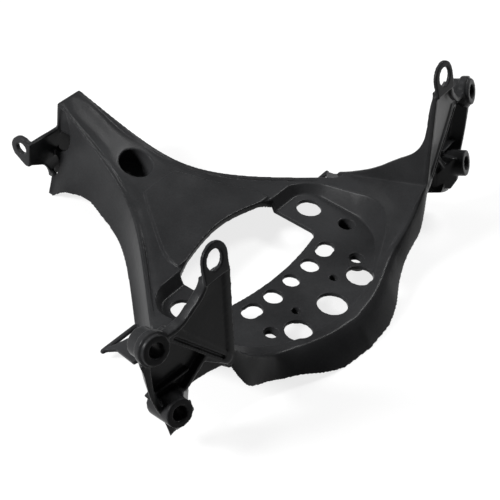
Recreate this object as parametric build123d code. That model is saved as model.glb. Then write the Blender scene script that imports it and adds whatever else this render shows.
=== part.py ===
from build123d import *
from math import atan2, cos, degrees, exp, hypot, log, radians, sin
import os

os.makedirs("parts", exist_ok=True)

# Axes: X to the right, Y forward to the narrow head, Z up.
# Everything is drawn from the middle hole of the level tray, with Z 0 on the tray's top face.
# At the end the part moves so that Z 0 is the floor and Y 0 the middle of its length.
trayTop = 16.0
middleY = 63.5

# Wall thicknesses
deckWall = 3.0
trayWall = 2.8
sideWall = 2.8
skirtWall = 2.8

# Deck: a level part that climbs to the head along a straight slope
deckLevel = 6.3
climbSlope = 0.445
climbStart = 88.1
climbBlend = 17.0
ridgeProud = 2.0
crownHeight = 3.5
crownWidth = 26.0
crownFadeY = 125.0
crownFadeLength = 35.0
noseY = 174.0
noseHalf = 9.4
noseChamfer = 3.0
noseBlockBack = 160.0
noseBlockFloor = 23.0
noseBlockFoot = 11.0
noseBlockHead = 9.2

# Ridge line of the deck in plan
ridgeHeadX = 10.3
ridgeHeadY = 165.0
ridgeHeadSlope = 0.17
ridgeArmSlope = 0.85
ridgeBendY = 99.3
ridgeBlend = 11.6
ridgeEndY = 26.0
ridgeStep = 2.2
ridgeBandHead = 4.0
ridgeBandArm = 9.0
ridgeBandY = 130.0
ridgeBandLength = 90.0

# Lip of the outer side wall
lipOut = 7.0
lipOutHead = 7.3
lipOutY = 130.0
lipOutLength = 43.0
lipLevel = -8.0
lipArch = 4.0
lipArchY = 140.0
lipArchLength = 18.0
lipDrop = 8.0
lipDropY = 155.0
lipDropLength = 18.0
wallLean = 8.0
wallLeanY = 120.0
wallLeanLength = 40.0

# Pocket of the tray under the deck
pocketHalf = 74.6
pocketFront = 43.6
pocketCorner = 13.6
pocketDraft = 30.0
pocketSideY = 5.0
pocketMiddleX = 72.0
pocketMiddleY = -5.5
pocketBackX = 64.0
pocketBackY = -16.4
pocketBack = -38.5
pocketRing = 2.0
pocketHeight = 30.0
trayInset = 0.5

# The deck is cut from one curved sheet that is larger than its plan
sheetHalf = 106.0
sheetBack = -54.0
sheetPastNose = 4.0
sheetDepth = 12.0
hollowDepth = 30.0
ridgeInset = 0.9
rimOverlap = 0.4
finOverlap = 1.5

# Rim of the tray at the back and bottom edge of the skirt below it: x, y, z
rimLine = [
    (0.0, -46.0, 0.5),
    (20.0, -43.8, 1.3),
    (34.0, -40.0, 2.0),
    (46.0, -35.8, 2.8),
    (59.0, -32.4, 5.2),
    (68.0, -31.8, 9.1),
    (77.0, -31.2, 14.8),
    (85.0, -29.7, 20.8),
    (95.0, -28.0, 31.0),
]
skirtLine = [
    (0.0, -59.0, -16.4),
    (21.0, -57.0, -16.4),
    (37.0, -52.0, -13.0),
    (50.5, -44.6, -9.8),
    (62.0, -39.4, -8.0),
    (71.0, -36.6, -4.8),
    (79.5, -35.0, -2.2),
    (88.3, -33.6, 3.7),
    (98.0, -28.4, 20.0),
]

# How the arms rise to the side mounts
armFrontZ = 7.4
armFrontY = 33.0
armLength = 62.0
armInnerX = 60.0
armBlendX = 17.0
armBlendStartY = 46.0
armBlendY = 20.0
backBlendY = 12.0
backBlendLength = 24.0

# Duct opening between the deck and the tray
openingHalf = 45.0
openingBack = 8.6
openingBow = 4.0
openingCorner = 6.0
archY = 53.9
archSideY = 47.0

# Blind round recess in the slope of the head, with a cup below the deck
ovalY = 118.5
ovalRadius = 10.6
ovalTilt = 18.5
cupDepth = 12.0
cupWall = 2.4
cupFloor = 2.4

# Round holes of the tray: x, y, radius
middleHole = (0.0, 0.0, 5.0)
backHole = (0.0, -29.3, 9.0)
innerHole = (18.3, -0.4, 5.6)
outerHole = (31.1, -27.5, 8.1)
cornerHole = (61.3, 30.6, 7.6)
slotHole = (36.2, 1.3, 4.9)
slotLength = 4.0
slotTurn = 8.0

# Bosses under the tray with small holes: x, y, bore radius, boss radius, depth
pinBoss = (19.0, -17.2, 2.6, 6.0, 5.0)
tubeBoss = (42.9, -17.1, 4.2, 7.0, 5.0)
blindBoss = (64.5, 4.8, 5.0, 8.0, 9.0)
bossFloor = 1.6
tubeThrough = 3.3

# Raised field of the deck in front of the opening
fieldRaise = 1.4
fieldWall = 2.0

# Side mounts: the origin is the lower inner corner of the web
webOrigin = (95.0, -28.0, 31.0)
webToe = 11.9
webTilt = 6.1
webWall = 2.6
panelDepth = 0.8
flangeTop = 3.4
edgeFlangeTop = 3.4
edgeLean = 0.48
spikeTop = 0.6
channelWidth = 5.4
channelGroove = 1.8
channelDepth = 1.6
lowerPanelW = -4.2
lowerPanelWall = 3.0
ribWidth = 2.0
ribTop = -1.0

# The two bosses of a mount share one axis direction
bossToe = 16.2
bossTilt = 19.4
bossRadius = 8.1
bossBore = 4.25
lowerBoss = (141.9, -29.5, 21.7)
lowerBossDepth = 19.5
upperBoss = (151.2, -18.4, 65.7)
upperBossDepth = 15.0
ringRadius = 9.6
ringDrop = 2.0
ringEnd = 6.5
gussetSlope = 0.5
gussetLean = 0.8

# Tab over the web with its own lean
tabCentre = (109.0, -18.3, 97.8)
tabToe = 1.6
tabTilt = 18.2
tabHole = 5.6
tabRound = 9.8
tabAside = -0.5
tabRise = -0.2
tabFoot = 10.5
tabTaper = 0.9
tabProud = 0.6
tabWall = 2.2
tabRootTop = 6.5
tabRootWall = 4.4
tabRootInset = 3.0

# Inner wall between an arm and its mount
finX = 95.0
finZ = 31.0
finLean = 3.7
finWall = 3.0

# Head: cross wall with an ear at its left end
crossWall = 3.0
crossTop = 25.5
crossBottom = -9.0
earX = 33.0
earWall = 3.4
earHoleY = 178.0
earHoleZ = 20.6
earHole = 3.8
earRound = 7.8

# Brace of the front corner
hookTip = (109.3, 48.8, -10.4)
hookRoot = (84.0, 46.0, -7.0)
hookBar = 3.2
hookPlate = 2.6
hookPlateOuter = (113.0, 24.5, -0.8)
hookPlateInner = (92.0, 38.5, -3.5)


def smooth(t):
    t = min(max(t, 0.0), 1.0)
    return t * t * (3.0 - 2.0 * t)


def softRamp(t, blend):
    return blend * log(1.0 + exp(t / blend))


def ridgeX(y):
    arm = ridgeArmSlope * softRamp(ridgeBendY - y, ridgeBlend)
    return ridgeHeadX + ridgeHeadSlope * (ridgeHeadY - y) + arm


def ridgeZ(y):
    return deckLevel + climbSlope * softRamp(y - climbStart, climbBlend)


def ridgeOut(y):
    step = 0.5
    dx = ridgeX(y - step) - ridgeX(y + step)
    long = hypot(dx, 2.0 * step)
    return 2.0 * step / long, dx / long


def through(points, x):
    count = len(points)
    i = 0
    while i < count - 2 and x > points[i + 1][0]:
        i += 1
    t = (x - points[i][0]) / (points[i + 1][0] - points[i][0])
    values = []
    for k in (1, 2):
        slopes = []
        for j in (i, i + 1):
            low = max(j - 1, 0)
            high = min(j + 1, count - 1)
            slopes.append((points[high][k] - points[low][k]) / (points[high][0] - points[low][0]))
        span = points[i + 1][0] - points[i][0]
        start = points[i][k]
        end = points[i + 1][k]
        ease = t * t * (3.0 - 2.0 * t)
        lean = slopes[0] * t * (1.0 - t) ** 2 - slopes[1] * t * t * (1.0 - t)
        values.append(start + (end - start) * ease + span * lean)
    return values


def rimY(x):
    return through(rimLine, abs(x))[0]


def rimZ(x):
    return through(rimLine, abs(x))[1]


def armZ(x, y):
    t = min(max((armFrontY - y) / armLength, 0.0), 1.0)
    return armFrontZ + (rimZ(x) - armFrontZ) * t


def deckZ(x, y):
    a = abs(x)
    side, ahead = ridgeOut(y)
    near = (ridgeX(y) - a) * side
    toArm = min(max((ridgeBandY - y) / ridgeBandLength, 0.0), 1.0)
    band = ridgeBandHead + (ridgeBandArm - ridgeBandHead) * toArm
    crown = crownHeight * exp(-((a / crownWidth) ** 2)) * smooth((crownFadeY - y) / crownFadeLength)
    z = ridgeZ(y) - ridgeProud + ridgeStep * smooth(near / band) + crown
    aside = smooth((a - armInnerX) / armBlendX) * smooth((armBlendStartY - y) / armBlendY)
    behind = smooth((backBlendY - y) / backBlendLength)
    return z + (armZ(a, y) - z) * (aside + behind - aside * behind)


def spread(start, end, count):
    return [start + (end - start) * i / (count - 1) for i in range(count)]


def slab(outline, bottom, top):
    return extrude(Plane.XY.offset(bottom) * outline, top - bottom)


def closed(*edges):
    return make_face(Wire(edges))


def band(front, back):
    steps = spread(0.0, 1.0, len(front))
    ahead = Edge.make_spline(front, parameters=steps)
    behind = Edge.make_spline(back[::-1], parameters=steps)
    return Wire([ahead, Edge.make_line(front[-1], back[-1]), behind, Edge.make_line(back[0], front[0])])


def heightSheet(height, drop, xs, ys, wall):
    bands = []
    for y in ys:
        top = [Vector(x, y, height(x, y) - drop) for x in xs]
        bands.append(band(top, [p - Vector(0, 0, wall) for p in top]))
    return Solid.make_loft(bands)


def wallSheet(profiles, inward):
    bands = []
    for profile, shift in zip(profiles, inward):
        outer = [Vector(*p) for p in profile]
        bands.append(band(outer, [p + Vector(*shift) for p in outer]))
    return Solid.make_loft(bands)


def bothSides(shape):
    return [shape, mirror(shape, Plane.YZ)]


def deckPlan():
    ys = spread(noseY, ridgeEndY, 16)
    right = [(ridgeX(y) - ridgeInset, y) for y in ys]
    left = [(-x, y) for x, y in reversed(right)]
    end = finX + finOverlap
    rim = [(x, rimY(x) + rimOverlap) for x in spread(end, -end, 25)]
    return closed(
        Spline(*right),
        Line(right[-1], rim[0]),
        Spline(*rim),
        Line(rim[-1], left[0]),
        Spline(*left),
        Line(left[-1], right[0]),
    )


def pocketPlan(grow):
    half = pocketHalf + grow
    front = pocketFront + grow
    radius = pocketCorner + grow
    back = pocketBack - grow
    side = (pocketBackX + 0.7 * grow, pocketBackY - 0.7 * grow)
    middle = (pocketMiddleX + 0.9 * grow, pocketMiddleY - 0.3 * grow)
    return closed(
        Line((-half + radius, front), (half - radius, front)),
        RadiusArc((half - radius, front), (half, front - radius), radius),
        Line((half, front - radius), (half, pocketSideY)),
        ThreePointArc((half, pocketSideY), middle, side),
        ThreePointArc(side, (0, back), (-side[0], side[1])),
        ThreePointArc((-side[0], side[1]), (-middle[0], middle[1]), (-half, pocketSideY)),
        Line((-half, pocketSideY), (-half, front - radius)),
        RadiusArc((-half, front - radius), (-half + radius, front), radius),
    )


def deck():
    xs = spread(-sheetHalf, sheetHalf, 31)
    ys = spread(sheetBack, noseY + sheetPastNose, 30)
    body = heightSheet(deckZ, 0.0, xs, ys, sheetDepth) & slab(deckPlan(), -trayWall, 80)
    ring = Pos(0, 0, -trayWall) * extrude(pocketPlan(pocketRing), pocketHeight, taper=-pocketDraft)
    under = heightSheet(deckZ, deckWall, xs, ys, hollowDepth) - ring
    pocket = extrude(pocketPlan(0.0), pocketHeight, taper=-pocketDraft)
    return body - under - pocket


def tray():
    return slab(pocketPlan(-trayInset), -trayWall, 0)


def lipZ(y):
    arch = lipArch * exp(-(((y - lipArchY) / lipArchLength) ** 2))
    return lipLevel + arch - lipDrop * smooth((y - lipDropY) / lipDropLength)


def lipAway(y):
    return lipOut + lipOutHead * smooth((y - lipOutY) / lipOutLength)


def sideWallPart():
    profiles = []
    inward = []
    for y in spread(noseY - 1.0, ridgeEndY, 21):
        side, ahead = ridgeOut(y)
        back = wallLean * smooth((y - wallLeanY) / wallLeanLength)
        dx = lipAway(y) * side
        dy = lipAway(y) * ahead - back
        wall = sideWall / (dx * side + dy * ahead)
        profile = []
        for t in spread(0.0, 1.0, 7):
            out = 0.5 * t + 0.5 * t ** 4
            profile.append((ridgeX(y) + dx * out, y + dy * out, ridgeZ(y) + (lipZ(y) - ridgeZ(y)) * t))
        profiles.append(profile)
        inward.append((-wall * dx, -wall * dy, 0))
    return bothSides(wallSheet(profiles, inward))


def skirt():
    profiles = []
    inward = []
    count = 8 * (len(rimLine) - 1)
    for i in range(-count, count + 1, 2):
        part = abs(i) / 8.0
        j = min(int(part), len(rimLine) - 2)
        x = rimLine[j][0] + (rimLine[j + 1][0] - rimLine[j][0]) * (part - j)
        low = skirtLine[j][0] + (skirtLine[j + 1][0] - skirtLine[j][0]) * (part - j)
        side = -1.0 if i < 0 else 1.0
        lowY, lowZ = through(skirtLine, low)
        dx = side * (low - x)
        dy = lowY - rimY(x)
        wall = skirtWall / hypot(dx, dy)
        profile = []
        for t in spread(0.0, 1.0, 6):
            out = t ** 0.8
            profile.append((side * x + dx * out, rimY(x) + dy * out, rimZ(x) + (lowZ - rimZ(x)) * t))
        profiles.append(profile)
        inward.append((-wall * dx, -wall * dy, 0))
    return wallSheet(profiles, inward)


def opening():
    half = openingHalf
    back = openingBack + openingBow
    radius = openingCorner
    right = (half, archSideY)
    low = (half, back + radius)
    left = (-half, archSideY)
    shape = closed(
        ThreePointArc(left, (0, archY), right),
        Line(right, low),
        RadiusArc(low, (half - radius, back), radius),
        ThreePointArc((half - radius, back), (0, openingBack), (-half + radius, back)),
        RadiusArc((-half + radius, back), (-half, back + radius), radius),
        Line((-half, back + radius), left),
    )
    return slab(shape, -30, 60)


def leaned(origin, toe, tilt):
    a = radians(toe)
    b = radians(tilt)
    out = (sin(a) * cos(b), -cos(a) * cos(b), sin(b))
    return Plane(origin=origin, x_dir=(cos(a), sin(a), 0), z_dir=out)


def onWeb(outline, start, end):
    return extrude(leaned(webOrigin, webToe, webTilt).offset(start) * outline, end - start)


def onWebLeaning(outline, start, end):
    web = leaned(webOrigin, webToe, webTilt)
    back = -web.z_dir - edgeLean * web.x_dir
    return extrude(web.offset(end) * outline, (end - start) * back.length, dir=back.normalized())


def bar(start, end, width):
    dx = end[0] - start[0]
    dy = end[1] - start[1]
    turn = degrees(atan2(dy, dx))
    place = Pos(0.5 * (start[0] + end[0]), 0.5 * (start[1] + end[1])) * Rot(0, 0, turn)
    return place * SlotCenterToCenter(hypot(dx, dy), width)


def webPlan():
    outer = [(22.6, 58.2), (24.5, 52.8), (28.2, 48.0), (33.1, 43.4)]
    outer += [(37.3, 39.8), (42.0, 37.7), (49.0, 36.6)]
    return closed(
        Line((0.0, -8.0), (0.5, 4.3)),
        Line((0.5, 4.3), (4.9, 58.2)),
        Line((4.9, 58.2), outer[0]),
        Spline(*outer),
        Line(outer[-1], (50.0, 31.0)),
        Line((50.0, 31.0), (36.5, 24.4)),
        Line((36.5, 24.4), (4.0, -8.0)),
        Line((4.0, -8.0), (0.0, -8.0)),
    )


def panelPlan():
    outer = [(21.2, 55.6), (22.3, 51.6), (25.6, 46.4), (30.6, 41.4), (34.6, 38.0), (38.0, 35.6)]
    return closed(
        Line((4.9, 2.0), (9.4, 55.6)),
        Line((9.4, 55.6), outer[0]),
        Spline(*outer),
        Line(outer[-1], (33.4, 29.6)),
        Line((33.4, 29.6), (4.9, 2.0)),
    )


def flangePlan():
    outer = [(23.8, 59.0), (25.6, 53.6), (29.2, 48.9), (34.0, 44.3)]
    outer += [(38.0, 40.8), (42.4, 38.9), (50.0, 38.0)]
    inner = [(49.0, 35.0), (41.4, 36.2), (36.4, 38.7), (32.2, 42.4)]
    inner += [(27.0, 47.2), (23.2, 52.2), (21.4, 59.0)]
    return closed(Spline(*outer), Line(outer[-1], inner[0]), Spline(*inner), Line(inner[-1], outer[0]))


def lowerPlan():
    return closed(
        Line((1.0, -8.0), (4.0, 0.0)),
        Line((4.0, 0.0), (34.0, 28.0)),
        Line((34.0, 28.0), (48.0, 35.0)),
        Line((48.0, 35.0), (59.4, 31.0)),
        Spline((59.4, 31.0), (57.0, 21.0), (54.6, 6.0), (52.0, -1.0), (48.8, -9.0), (45.4, -17.0)),
        Line((45.4, -17.0), (42.6, -23.0)),
        Line((42.6, -23.0), (28.5, -23.5)),
        Line((28.5, -23.5), (27.8, -11.0)),
        Spline((27.8, -11.0), (17.0, -9.7), (1.0, -11.0)),
        Line((1.0, -11.0), (1.0, -8.0)),
    )


def edgeFlangePlan():
    return closed(
        Spline((65.6, 26.0), (62.8, 18.0), (60.4, 6.0), (58.2, -1.0), (55.4, -8.0), (51.6, -14.0)),
        Line((51.6, -14.0), (48.0, -12.0)),
        Spline((48.0, -12.0), (54.0, -3.0), (57.6, 10.0), (59.4, 26.0)),
        Line((59.4, 26.0), (65.6, 26.0)),
    )


def spikePlan():
    return closed(
        Spline((55.0, -7.0), (51.0, -15.0), (47.8, -23.0), (44.4, -33.6)),
        Spline((44.4, -33.6), (36.0, -29.4), (28.0, -24.5)),
        Line((28.0, -24.5), (40.0, -18.0)),
        Line((40.0, -18.0), (55.0, -7.0)),
    )


def gusset():
    web = leaned(webOrigin, webToe, webTilt)
    corners = [(29.5, -22.8), (41.6, -29.6), (47.0, -14.6), (49.6, -8.0), (38.0, -4.0), (29.4, -12.0)]
    top = spikeTop + gussetSlope * 26.0
    end = lowerPanelW + gussetLean * 20.0
    fromTip = Polygon((-33.6, -8.0), (-4.0, -8.0), (-4.0, top), (-7.6, top), (-33.6, spikeTop), align=None)
    fromNeck = Polygon((28.0, -8.0), (54.0, -8.0), (54.0, end), (48.0, end), (28.0, lowerPanelW), align=None)
    along = Plane(origin=webOrigin, x_dir=web.y_dir, z_dir=web.x_dir)
    across = Plane(origin=webOrigin, x_dir=web.x_dir, z_dir=-web.y_dir)
    prism = extrude(web.offset(lowerPanelW - lowerPanelWall) * Polygon(*corners, align=None), 13.5)
    sloping = extrude(along.offset(20.0) * fromTip, 40.0)
    return prism & sloping & extrude(across.offset(-10.0) * fromNeck, 50.0)


def bossTower(centre, depth):
    return extrude(leaned(centre, bossToe, bossTilt).offset(-depth) * Circle(bossRadius), depth)


def bossRing(centre):
    plane = leaned(centre, bossToe, bossTilt)
    return extrude(plane.offset(-ringEnd) * Circle(ringRadius), ringEnd - ringDrop)


def bossBores(centre):
    plane = leaned(centre, bossToe, bossTilt)
    return extrude(plane.offset(-60) * Circle(bossBore), 100)


def tabSolid():
    plane = leaned(tabCentre, tabToe, tabTilt)
    left = tabAside - tabRound
    right = tabAside + tabRound
    outline = closed(
        ThreePointArc((left, tabRise), (tabAside, tabRise + tabRound), (right, tabRise)),
        Line((right, tabRise), (right, -tabFoot)),
        Line((right, -tabFoot), (left + tabTaper, -tabFoot)),
        Line((left + tabTaper, -tabFoot), (left, tabRise)),
    )
    width = right - left - tabTaper - tabRootInset
    middle = Pos(0.5 * (left + tabTaper + right - tabRootInset), -0.5 * (tabFoot + tabRootTop))
    foot = middle * Rectangle(width, tabFoot - tabRootTop)
    root = extrude(plane.offset(-tabRootWall) * foot, tabRootWall)
    return extrude(plane.offset(-tabWall) * outline, tabWall) + root


def fin():
    lean = radians(finLean)
    plane = Plane(origin=(finX, 0, finZ), x_dir=(0, 1, 0), z_dir=(cos(lean), 0, -sin(lean)))
    top = (-18.0, 57.0)
    foot = (33.0, -24.0)
    front = [top, (-18.0, 43.0), (-18.0, 24.0), (-12.8, 14.0), (-5.6, 7.0), (6.6, -5.4), (23.0, -18.0), foot]
    shape = closed(
        Line((-27.0, -12.0), (-27.6, 0.0)),
        Line((-27.6, 0.0), (-20.6, 57.0)),
        Line((-20.6, 57.0), top),
        Spline(*front),
        Line(foot, (30.0, -34.0)),
        Line((30.0, -34.0), (-27.0, -12.0)),
    )
    return extrude(plane * shape, finWall)


def sideMount():
    body = onWeb(webPlan(), -webWall, 0)
    body -= onWeb(panelPlan(), -panelDepth, 9)
    overTab = leaned(tabCentre, tabToe, tabTilt).offset(-tabProud) * Rectangle(60, 60)
    body += onWeb(flangePlan(), -webWall, flangeTop) - extrude(overTab, 20)
    body += onWeb(lowerPlan(), lowerPanelW - lowerPanelWall, lowerPanelW)
    body += onWebLeaning(edgeFlangePlan(), lowerPanelW - lowerPanelWall, edgeFlangeTop)
    body += onWebLeaning(spikePlan(), lowerPanelW - lowerPanelWall, spikeTop)
    body += onWeb(bar((21.0, 6.0), (33.5, -8.0), 3.0), lowerPanelW - 1.0, ribTop + 1.0)
    body += onWeb(bar((20.4, 5.0), (4.0, -5.5), 3.0), lowerPanelW - 1.2, ribTop + 0.8)
    body += onWeb(bar((56.0, -2.0), (31.5, 3.5), ribWidth), lowerPanelW - 1.0, ribTop)
    body += onWeb(bar((44.0, 33.0), (5.0, -2.5), channelWidth), lowerPanelW - lowerPanelWall, 0.4)
    body -= onWeb(bar((41.0, 30.3), (8.0, 0.2), channelGroove), 0.4 - channelDepth, 9)
    body += tabSolid()
    body += fin()
    body += bossTower(upperBoss, upperBossDepth) + bossRing(upperBoss)
    body += bossTower(lowerBoss, lowerBossDepth) + gusset()
    body -= bossBores(upperBoss)
    body -= bossBores(lowerBoss)
    body -= extrude(leaned(tabCentre, tabToe, tabTilt).offset(-20) * Circle(tabHole), 40)
    return bothSides(body)


def strut(start, end, width):
    along = Vector(*end) - Vector(*start)
    return extrude(Plane(origin=start, z_dir=along) * Circle(0.5 * width), along.length)


def hookPart():
    tip = Vector(*hookTip)
    out = Vector(*hookPlateOuter) - tip
    inner = Vector(*hookPlateInner) - tip
    corners = [tip, tip + out * 0.22 + inner * 0.2, tip + out, tip + out + inner * 0.9, tip + inner]
    plate = extrude(make_face(Polyline(*corners, close=True)), 0.5 * hookPlate, both=True)
    body = strut(hookRoot, hookTip, hookBar) + Pos(*hookTip) * Sphere(0.5 * hookBar) + plate
    return bothSides(body)


def head():
    plane = Plane(origin=(0, noseY, 0), x_dir=(-1, 0, 0), z_dir=(0, 1, 0)).offset(-crossWall)
    top = ridgeZ(noseY) - 2.0
    front = closed(
        Line((-noseHalf, top), (noseHalf, top)),
        Line((noseHalf, top), (noseHalf, crossTop)),
        Line((noseHalf, crossTop), (earX + 1.0, crossTop + 0.8)),
        Line((earX + 1.0, crossTop + 0.8), (earX + 1.0, 10.0)),
        Line((earX + 1.0, 10.0), (24.0, 4.8)),
        Spline((24.0, 4.8), (18.5, -1.5), (16.0, crossBottom)),
        Line((16.0, crossBottom), (-16.0, crossBottom)),
        Line((-16.0, crossBottom), (-noseHalf, top)),
    )
    return extrude(plane * front, crossWall)


def ear():
    side = Plane(origin=(-earX, 0, 0), x_dir=(0, 1, 0), z_dir=(1, 0, 0)).offset(-earWall)
    hole = Pos(earHoleY, earHoleZ)
    foot = Polygon((171.0, 26.4), (171.0, 10.0), (174.5, 9.6), (184.0, 14.8), (180.0, 27.0), align=None)
    lug = hole * Circle(earRound) + foot
    return extrude(side * lug, earWall) - extrude(side.offset(-5) * (hole * Circle(earHole)), earWall + 10)


def notches():
    side = Plane(origin=(-39.0, 0, 0), x_dir=(0, 1, 0), z_dir=(1, 0, 0))
    front = 171.0
    edge = [(166.5, 40), (162.8, 33), (160.2, 26), (159.8, 20), (162.0, 14.8), (166.5, 12.2), (front, 11.8)]
    upper = closed(Spline(*edge), Line(edge[-1], (front, 40.0)), Line((front, 40.0), edge[0]))
    ring = [(front, 7.4), (167.6, 6.6), (165.6, 2.0), (167.4, -4.4)]
    ring += [(169.6, -4.0), (171.4, 0.5), (front, 7.4)]
    lower = closed(Spline(*ring))
    return [extrude(side * upper, 30), extrude(side * lower, 30)]


def trayHoles():
    x, y, radius = slotHole
    slot = Pos(x, y) * Rot(0, 0, slotTurn) * SlotOverall(2 * radius + slotLength, 2 * radius)
    middle = [Pos(h[0], h[1]) * Circle(h[2]) for h in (middleHole, backHole)]
    sides = [Pos(h[0], h[1]) * Circle(h[2]) for h in (innerHole, outerHole, cornerHole)]
    sides.append(slot)
    tools = [slab(shape, -30, 30) for shape in middle + sides]
    tools += [mirror(slab(shape, -30, 30), Plane.YZ) for shape in sides]
    return tools


def trayBosses():
    solids = []
    bores = []
    for x, y, bore, outer, depth in (pinBoss, tubeBoss, blindBoss):
        here = Pos(x, y)
        solids += bothSides(slab(here * Circle(outer), -depth, -0.5 * trayWall))
        bores += bothSides(slab(here * Circle(bore), -depth + bossFloor, 30))
    bores += bothSides(slab(Pos(tubeBoss[0], tubeBoss[1]) * Circle(tubeThrough), -30, 0))
    return solids, bores


def inSlope(radius, bottom, top):
    place = Pos(0, ovalY, ridgeZ(ovalY)) * Rot(ovalTilt, 0, 0)
    return place * Pos(0, 0, 0.5 * (bottom + top)) * Cylinder(radius, top - bottom)


def ovalCup():
    return inSlope(ovalRadius + cupWall, -cupDepth - cupFloor, -0.5 * deckWall)


def ovalHole():
    return inSlope(ovalRadius, -cupDepth, 2.0 * cupDepth)


def noseBlock():
    front = noseY - crossWall
    roof = [(y, ridgeZ(y) - 0.8 * deckWall) for y in (front, noseBlockBack)]
    top = roof[0][1]
    side = Polygon((noseBlockBack, noseBlockFloor), (front, noseBlockFloor), *roof, align=None)
    foot = [(-noseBlockFoot, noseBlockFloor), (noseBlockFoot, noseBlockFloor)]
    section = Polygon(*foot, (noseBlockHead, top), (-noseBlockHead, top), align=None)
    along = Plane(origin=(0, noseBlockBack, 0), x_dir=(-1, 0, 0), z_dir=(0, 1, 0))
    across = Plane(origin=(-noseBlockFoot, 0, 0), x_dir=(0, 1, 0), z_dir=(1, 0, 0))
    return extrude(along * section, front - noseBlockBack) & extrude(across * side, 2.0 * noseBlockFoot)


def noseEdge():
    side = 2.0 * noseChamfer * sin(radians(45.0))
    return Pos(0, noseY, ridgeZ(noseY) + ridgeStep - ridgeProud) * Rot(45, 0, 0) * Box(60, side, side)


def belowFloor():
    return slab(Rectangle(500, 500), -40, -trayTop)


def raisedField():
    right = [(13.4, 100.0), (16.6, 96.8), (23.0, 87.8), (29.4, 78.6)]
    right += [(35.8, 69.6), (41.2, 60.5), (43.2, 49.5)]
    left = [(-x, y) for x, y in reversed(right)]
    plan = closed(Spline(*right), Line(right[-1], left[0]), Spline(*left), Line(left[-1], right[0]))
    sheet = heightSheet(deckZ, -fieldRaise, spread(-50.0, 50.0, 13), spread(40.0, 108.0, 9), fieldWall)
    return sheet & slab(plan, -10, 60)


bossSolids, bossHoles = trayBosses()
solids = [tray(), raisedField(), skirt(), head(), ear(), ovalCup(), noseBlock()] + bossSolids
solids += sideWallPart() + sideMount() + hookPart()
cuts = [opening(), ovalHole(), noseEdge(), belowFloor()] + notches() + trayHoles() + bossHoles
bracket = deck().fuse(*solids).cut(*cuts)
bracket = Pos(0, -middleY, trayTop) * bracket
export_step(bracket, "parts/bracket.step")
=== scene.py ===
import bpy
from mathutils import Matrix, Vector

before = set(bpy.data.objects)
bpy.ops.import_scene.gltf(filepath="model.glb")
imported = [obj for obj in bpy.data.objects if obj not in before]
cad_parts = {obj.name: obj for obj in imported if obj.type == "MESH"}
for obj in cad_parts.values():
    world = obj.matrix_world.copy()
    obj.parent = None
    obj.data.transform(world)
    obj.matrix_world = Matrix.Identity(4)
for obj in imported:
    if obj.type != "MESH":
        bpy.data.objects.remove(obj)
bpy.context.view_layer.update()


print("frame loaded")


# A number that flows between shader nodes and takes part in sums and products.
class Number:
    def __init__(self, graph, socket):
        self.graph = graph
        self.socket = socket

    def math(self, operation, first, second):
        node = self.graph.node("ShaderNodeMath", {"operation": operation}, {0: first, 1: second})
        return Number(self.graph, node.outputs[0])

    def __add__(self, other):
        return self.math("ADD", self, other)

    def __radd__(self, other):
        return self.math("ADD", other, self)

    def __sub__(self, other):
        return self.math("SUBTRACT", self, other)

    def __mul__(self, other):
        return self.math("MULTIPLY", self, other)

    def __rmul__(self, other):
        return self.math("MULTIPLY", other, self)

    def atMost(self, other):
        return self.math("MINIMUM", self, other)


# One shader's nodes, made and joined through the same few methods.
class Graph:
    def __init__(self, owner):
        owner.use_nodes = True
        self.tree = owner.node_tree
        self.tree.nodes.clear()

    def node(self, kind, settings=None, inputs=None):
        node = self.tree.nodes.new(kind)
        for name, value in (settings or {}).items():
            setattr(node, name, value)
        for key, value in (inputs or {}).items():
            self.feed(node.inputs[key], value)
        return node

    def feed(self, target, value):
        if isinstance(value, Number):
            value = value.socket
        if isinstance(value, bpy.types.NodeSocket):
            self.tree.links.new(value, target)
        else:
            target.default_value = value

    def number(self, node, name=0):
        return Number(self, node.outputs[name])

    def noise(self, place, scale, detail, roughness):
        inputs = {"Vector": place, "Scale": scale, "Detail": detail, "Roughness": roughness}
        return self.number(self.node("ShaderNodeTexNoise", None, inputs), "Fac")

    def between(self, factor, low, high):
        inputs = {0: factor, 6: (*low, 1.0), 7: (*high, 1.0)}
        settings = {"data_type": "RGBA", "clamp_factor": True}
        return self.node("ShaderNodeMix", settings, inputs).outputs[2]

    def spread(self, value, start, end):
        inputs = {"Value": value, "From Min": start, "From Max": end}
        return self.number(self.node("ShaderNodeMapRange", {"clamp": True}, inputs))


# Satin black coat: cloud and grain vary its tone, peel and cast roughen its surface.
coatLook = {
    "dark": (0.019, 0.0193, 0.0202),
    "pale": (0.034, 0.0344, 0.0358),
    "cloudScale": 22.0,
    "grainScale": 900.0,
    "peelScale": 260.0,
    "castScale": 60.0,
    "toneShares": (0.75, 0.25),
    "toneRange": (0.35, 0.65),
    "roughShares": (0.6, 0.4),
    "heightShares": (0.5, 0.3, 0.6),
    "roughness": 0.30,
    "roughnessSpread": 0.12,
    "specular": 0.06,
    "bumpStrength": 0.22,
    "bumpHeight": 0.00035,
}


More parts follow.
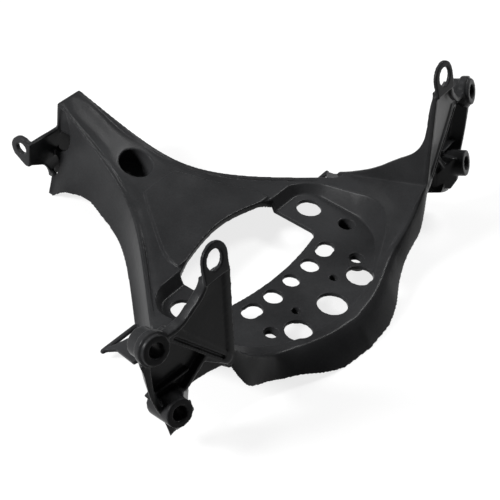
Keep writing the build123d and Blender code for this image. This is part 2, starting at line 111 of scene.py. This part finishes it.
def coatedCasting(name, look):
    material = bpy.data.materials.new(name)
    graph = Graph(material)
    place = graph.node("ShaderNodeTexCoord").outputs["Object"]
    cloud = graph.noise(place, look["cloudScale"], 4.0, 0.55)
    grain = graph.noise(place, look["grainScale"], 3.0, 0.6)
    peel = graph.noise(place, look["peelScale"], 2.0, 0.5)
    cast = graph.noise(place, look["castScale"], 3.0, 0.5)
    byCloud, byGrain = look["toneShares"]
    tone = graph.spread(cloud * byCloud + grain * byGrain, *look["toneRange"])
    color = graph.between(tone, look["dark"], look["pale"])
    byCloud, byGrain = look["roughShares"]
    rough = look["roughness"] + look["roughnessSpread"] * (byCloud * cloud + byGrain * grain - 0.5)
    byPeel, byGrain, byCast = look["heightShares"]
    height = byPeel * peel + byGrain * grain + byCast * cast
    bump = graph.node("ShaderNodeBump", None, {
        "Strength": look["bumpStrength"],
        "Distance": look["bumpHeight"],
        "Height": height,
    })
    shader = graph.node("ShaderNodeBsdfPrincipled", None, {
        "Base Color": color,
        "Roughness": rough,
        "Specular IOR Level": look["specular"],
        "Normal": bump.outputs[0],
    })
    graph.node("ShaderNodeOutputMaterial", None, {"Surface": shader.outputs[0]})
    return material


# The sharp edges of the solid become the rounded ones of a casting.
roundSettings = {"voxel": 0.00055, "factor": 0.5, "rounds": 7, "kept": 0.2}


def roundEdges(piece, settings):
    remesh = piece.modifiers.new("cast surface", "REMESH")
    remesh.mode = "VOXEL"
    remesh.voxel_size = settings["voxel"]
    remesh.use_smooth_shade = True
    smooth = piece.modifiers.new("cast edges", "SMOOTH")
    smooth.factor = settings["factor"]
    smooth.iterations = settings["rounds"]
    thin = piece.modifiers.new("lighter mesh", "DECIMATE")
    thin.ratio = settings["kept"]


def dress(name, material):
    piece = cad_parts[name]
    piece.data.materials.clear()
    piece.data.materials.append(material)
    return piece


bracket = dress("bracket", coatedCasting("coated_casting", coatLook))
roundEdges(bracket, roundSettings)
print("bracket dressed")


# The floor glows white to the camera and keeps the shadow, and lights the bracket only a little.
floorLook = {"size": 6.0, "glow": 0.8, "pale": 0.26, "plain": 0.12}


def makeFloor(look):
    half = 0.5 * look["size"]
    corners = [(-half, -half, 0.0), (half, -half, 0.0), (half, half, 0.0), (-half, half, 0.0)]
    mesh = bpy.data.meshes.new("floor")
    mesh.from_pydata(corners, [], [(0, 1, 2, 3)])
    floor = bpy.data.objects.new("floor", mesh)
    bpy.context.scene.collection.objects.link(floor)
    material = bpy.data.materials.new("floor")
    graph = Graph(material)
    seen = graph.node("ShaderNodeLightPath")
    straight = graph.number(seen, "Is Camera Ray") + graph.number(seen, "Is Glossy Ray")
    straight = (straight + graph.number(seen, "Is Transmission Ray")).atMost(1.0)
    glow = graph.node("ShaderNodeEmission", None, {"Color": (1, 1, 1, 1), "Strength": look["glow"]})
    pale = graph.node("ShaderNodeBsdfDiffuse", None, {"Color": (look["pale"],) * 3 + (1,)})
    bright = graph.node("ShaderNodeAddShader", None, {0: glow.outputs[0], 1: pale.outputs[0]})
    plain = graph.node("ShaderNodeBsdfDiffuse", None, {"Color": (look["plain"],) * 3 + (1,)})
    mixed = graph.node("ShaderNodeMixShader", None, {0: straight, 1: plain.outputs[0], 2: bright.outputs[0]})
    graph.node("ShaderNodeOutputMaterial", None, {"Surface": mixed.outputs[0]})
    mesh.materials.append(material)


worldStrength = 0.05


def makeWorld(strength):
    world = bpy.data.worlds.new("studio")
    bpy.context.scene.world = world
    graph = Graph(world)
    seen = graph.node("ShaderNodeLightPath")
    straight = (graph.number(seen, "Is Camera Ray") + graph.number(seen, "Is Transmission Ray")).atMost(1.0)
    plain = graph.node("ShaderNodeBackground", None, {"Color": (1, 1, 1, 1), "Strength": strength})
    white = graph.node("ShaderNodeBackground", None, {"Color": (1, 1, 1, 1), "Strength": 1.0})
    mixed = graph.node("ShaderNodeMixShader", None, {0: straight, 1: plain.outputs[0], 2: white.outputs[0]})
    graph.node("ShaderNodeOutputWorld", None, {"Surface": mixed.outputs[0]})


def lookAt(eye, aim, roll=0.0):
    back = (Vector(eye) - Vector(aim)).normalized()
    right = Vector((0, 0, 1)).cross(back).normalized()
    turn = Matrix((right, back.cross(right), back)).transposed().to_4x4()
    return Matrix.Translation(eye) @ turn @ Matrix.Rotation(roll, 4, "Z")


# Lamps above the left side, the right side and the head
lampAim = (0.0, 0.0, 0.04)
lamps = {
    "left": {"eye": (-0.74, 0.42, 0.62), "size": 0.3, "power": 12.5},
    "right": {"eye": (0.80, -0.16, 0.88), "size": 0.34, "power": 8.0},
    "top": {"eye": (0.1, 0.75, 1.15), "size": 0.5, "power": 3.0},
}


def makeLamp(name, settings):
    light = bpy.data.lights.new(name, "AREA")
    light.shape = "DISK"
    light.size = settings["size"]
    light.energy = settings["power"]
    lamp = bpy.data.objects.new(name, light)
    bpy.context.scene.collection.objects.link(lamp)
    lamp.matrix_world = lookAt(settings["eye"], lampAim)


# Camera solved from the points that the photo shows on both sides of the bracket
cameraSettings = {
    "eye": (-0.60029, -0.40898, 0.63241),
    "aim": (0.00909, -0.02722, 0.01159),
    "roll": 0.12687,
    "lens": 115.2,
    "sensor": 36.0,
}


def makeCamera(settings):
    data = bpy.data.cameras.new("camera")
    data.lens = settings["lens"]
    data.sensor_width = settings["sensor"]
    data.clip_start = 0.05
    camera = bpy.data.objects.new("camera", data)
    bpy.context.scene.collection.objects.link(camera)
    camera.matrix_world = lookAt(settings["eye"], settings["aim"], settings["roll"])
    bpy.context.scene.camera = camera


makeFloor(floorLook)
makeWorld(worldStrength)
for name, settings in lamps.items():
    makeLamp(name, settings)
makeCamera(cameraSettings)
bpy.context.scene.view_settings.view_transform = "Standard"
print("stage ready")
